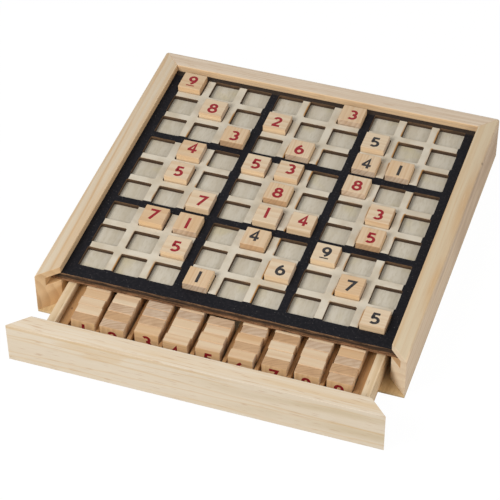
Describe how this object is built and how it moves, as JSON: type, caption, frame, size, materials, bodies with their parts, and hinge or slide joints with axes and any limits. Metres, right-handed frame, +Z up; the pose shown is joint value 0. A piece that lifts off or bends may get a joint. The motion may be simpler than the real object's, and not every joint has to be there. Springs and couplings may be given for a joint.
{
  "type": "sudoku board",
  "caption": "Wooden sudoku board with a mitred frame, a black and pale grid of cells, loose number tiles and a tile drawer in its front side.",
  "frame": {"origin": "centre of the frame's square underside, which rests on the table", "axes": "+Z up, +Y to the back, -Y is the way the drawer opens, +X to the right seen from the drawer"},
  "size_m": [0.29, 0.345, 0.0377],
  "materials": {
    "pine_moulding": "plain sanded pine",
    "base_sheet": "thin plain sheet",
    "cell_floor_sheet": "pale sheet, laser browned edges",
    "grid_sheet": "sheet printed black and pale, laser browned edges",
    "drawer_wood": "plain sheet",
    "divider_wood": "plain strips",
    "tile_wood": "sanded, printed number on one face"
  },
  "bodies": {
    "case": {"left_rail": "pine_moulding", "right_rail": "pine_moulding", "back_rail": "pine_moulding", "base_panel": "base_sheet", "cell_floor": "cell_floor_sheet", "grid_bars_across": "grid_sheet", "grid_bars_down": "grid_sheet"},
    "drawer": {"drawer_front": "pine_moulding", "drawer_left_wall": "drawer_wood", "drawer_right_wall": "drawer_wood", "drawer_back_wall": "drawer_wood", "drawer_bottom": "drawer_wood", "drawer_left_filler": "divider_wood", "drawer_right_filler": "divider_wood", "drawer_dividers": "divider_wood", "stack_1": "tile_wood", "stack_2": "tile_wood", "stack_3": "tile_wood", "stack_4": "tile_wood", "stack_5": "tile_wood", "stack_6": "tile_wood", "stack_7": "tile_wood", "stack_8": "tile_wood", "stack_9": "tile_wood"},
    "tile_r1c1": {"tile_r1c1": "tile_wood"},
    "tile_r1c6": {"tile_r1c6": "tile_wood"},
    "tile_r2c2": {"tile_r2c2": "tile_wood"},
    "tile_r2c4": {"tile_r2c4": "tile_wood"},
    "tile_r2c7": {"tile_r2c7": "tile_wood"},
    "tile_r3c3": {"tile_r3c3": "tile_wood"},
    "tile_r3c5": {"tile_r3c5": "tile_wood"},
    "tile_r3c7": {"tile_r3c7": "tile_wood"},
    "tile_r3c8": {"tile_r3c8": "tile_wood"},
    "tile_r4c2": {"tile_r4c2": "tile_wood"},
    "tile_r4c4": {"tile_r4c4": "tile_wood"},
    "tile_r4c5": {"tile_r4c5": "tile_wood"},
    "tile_r4c7": {"tile_r4c7": "tile_wood"},
    "tile_r5c2": {"tile_r5c2": "tile_wood"},
    "tile_r5c5": {"tile_r5c5": "tile_wood"},
    "tile_r5c8": {"tile_r5c8": "tile_wood"},
    "tile_r6c3": {"tile_r6c3": "tile_wood"},
    "tile_r6c5": {"tile_r6c5": "tile_wood"},
    "tile_r6c6": {"tile_r6c6": "tile_wood"},
    "tile_r6c8": {"tile_r6c8": "tile_wood"},
    "tile_r7c2": {"tile_r7c2": "tile_wood"},
    "tile_r7c3": {"tile_r7c3": "tile_wood"},
    "tile_r7c5": {"tile_r7c5": "tile_wood"},
    "tile_r7c7": {"tile_r7c7": "tile_wood"},
    "tile_r8c3": {"tile_r8c3": "tile_wood"},
    "tile_r8c6": {"tile_r8c6": "tile_wood"},
    "tile_r8c8": {"tile_r8c8": "tile_wood"},
    "tile_r9c4": {"tile_r9c4": "tile_wood"},
    "tile_r9c9": {"tile_r9c9": "tile_wood"}
  },
  "joints": [
    {"name": "drawer_slide", "type": "slide", "parent": "case", "child": "drawer", "axis": [0, -1, 0], "range_m": [-0.0547, 0.072]},
    {"name": "tile_r1c1_lift", "type": "slide", "parent": "case", "child": "tile_r1c1", "axis": [0, 0, 1], "range_m": [0, 0.02]},
    {"name": "tile_r1c6_lift", "type": "slide", "parent": "case", "child": "tile_r1c6", "axis": [0, 0, 1], "range_m": [0, 0.02]},
    {"name": "tile_r2c2_lift", "type": "slide", "parent": "case", "child": "tile_r2c2", "axis": [0, 0, 1], "range_m": [0, 0.02]},
    {"name": "tile_r2c4_lift", "type": "slide", "parent": "case", "child": "tile_r2c4", "axis": [0, 0, 1], "range_m": [0, 0.02]},
    {"name": "tile_r2c7_lift", "type": "slide", "parent": "case", "child": "tile_r2c7", "axis": [0, 0, 1], "range_m": [0, 0.02]},
    {"name": "tile_r3c3_lift", "type": "slide", "parent": "case", "child": "tile_r3c3", "axis": [0, 0, 1], "range_m": [0, 0.02]},
    {"name": "tile_r3c5_lift", "type": "slide", "parent": "case", "child": "tile_r3c5", "axis": [0, 0, 1], "range_m": [0, 0.02]},
    {"name": "tile_r3c7_lift", "type": "slide", "parent": "case", "child": "tile_r3c7", "axis": [0, 0, 1], "range_m": [0, 0.02]},
    {"name": "tile_r3c8_lift", "type": "slide", "parent": "case", "child": "tile_r3c8", "axis": [0, 0, 1], "range_m": [0, 0.02]},
    {"name": "tile_r4c2_lift", "type": "slide", "parent": "case", "child": "tile_r4c2", "axis": [0, 0, 1], "range_m": [0, 0.02]},
    {"name": "tile_r4c4_lift", "type": "slide", "parent": "case", "child": "tile_r4c4", "axis": [0, 0, 1], "range_m": [0, 0.02]},
    {"name": "tile_r4c5_lift", "type": "slide", "parent": "case", "child": "tile_r4c5", "axis": [0, 0, 1], "range_m": [0, 0.02]},
    {"name": "tile_r4c7_lift", "type": "slide", "parent": "case", "child": "tile_r4c7", "axis": [0, 0, 1], "range_m": [0, 0.02]},
    {"name": "tile_r5c2_lift", "type": "slide", "parent": "case", "child": "tile_r5c2", "axis": [0, 0, 1], "range_m": [0, 0.02]},
    {"name": "tile_r5c5_lift", "type": "slide", "parent": "case", "child": "tile_r5c5", "axis": [0, 0, 1], "range_m": [0, 0.02]},
    {"name": "tile_r5c8_lift", "type": "slide", "parent": "case", "child": "tile_r5c8", "axis": [0, 0, 1], "range_m": [0, 0.02]},
    {"name": "tile_r6c3_lift", "type": "slide", "parent": "case", "child": "tile_r6c3", "axis": [0, 0, 1], "range_m": [0, 0.02]},
    {"name": "tile_r6c5_lift", "type": "slide", "parent": "case", "child": "tile_r6c5", "axis": [0, 0, 1], "range_m": [0, 0.02]},
    {"name": "tile_r6c6_lift", "type": "slide", "parent": "case", "child": "tile_r6c6", "axis": [0, 0, 1], "range_m": [0, 0.02]},
    {"name": "tile_r6c8_lift", "type": "slide", "parent": "case", "child": "tile_r6c8", "axis": [0, 0, 1], "range_m": [0, 0.02]},
    {"name": "tile_r7c2_lift", "type": "slide", "parent": "case", "child": "tile_r7c2", "axis": [0, 0, 1], "range_m": [0, 0.02]},
    {"name": "tile_r7c3_lift", "type": "slide", "parent": "case", "child": "tile_r7c3", "axis": [0, 0, 1], "range_m": [0, 0.02]},
    {"name": "tile_r7c5_lift", "type": "slide", "parent": "case", "child": "tile_r7c5", "axis": [0, 0, 1], "range_m": [0, 0.02]},
    {"name": "tile_r7c7_lift", "type": "slide", "parent": "case", "child": "tile_r7c7", "axis": [0, 0, 1], "range_m": [0, 0.02]},
    {"name": "tile_r8c3_lift", "type": "slide", "parent": "case", "child": "tile_r8c3", "axis": [0, 0, 1], "range_m": [0, 0.02]},
    {"name": "tile_r8c6_lift", "type": "slide", "parent": "case", "child": "tile_r8c6", "axis": [0, 0, 1], "range_m": [0, 0.02]},
    {"name": "tile_r8c8_lift", "type": "slide", "parent": "case", "child": "tile_r8c8", "axis": [0, 0, 1], "range_m": [0, 0.02]},
    {"name": "tile_r9c4_lift", "type": "slide", "parent": "case", "child": "tile_r9c4", "axis": [0, 0, 1], "range_m": [0, 0.02]},
    {"name": "tile_r9c9_lift", "type": "slide", "parent": "case", "child": "tile_r9c9", "axis": [0, 0, 1], "range_m": [0, 0.02]}
  ]
}
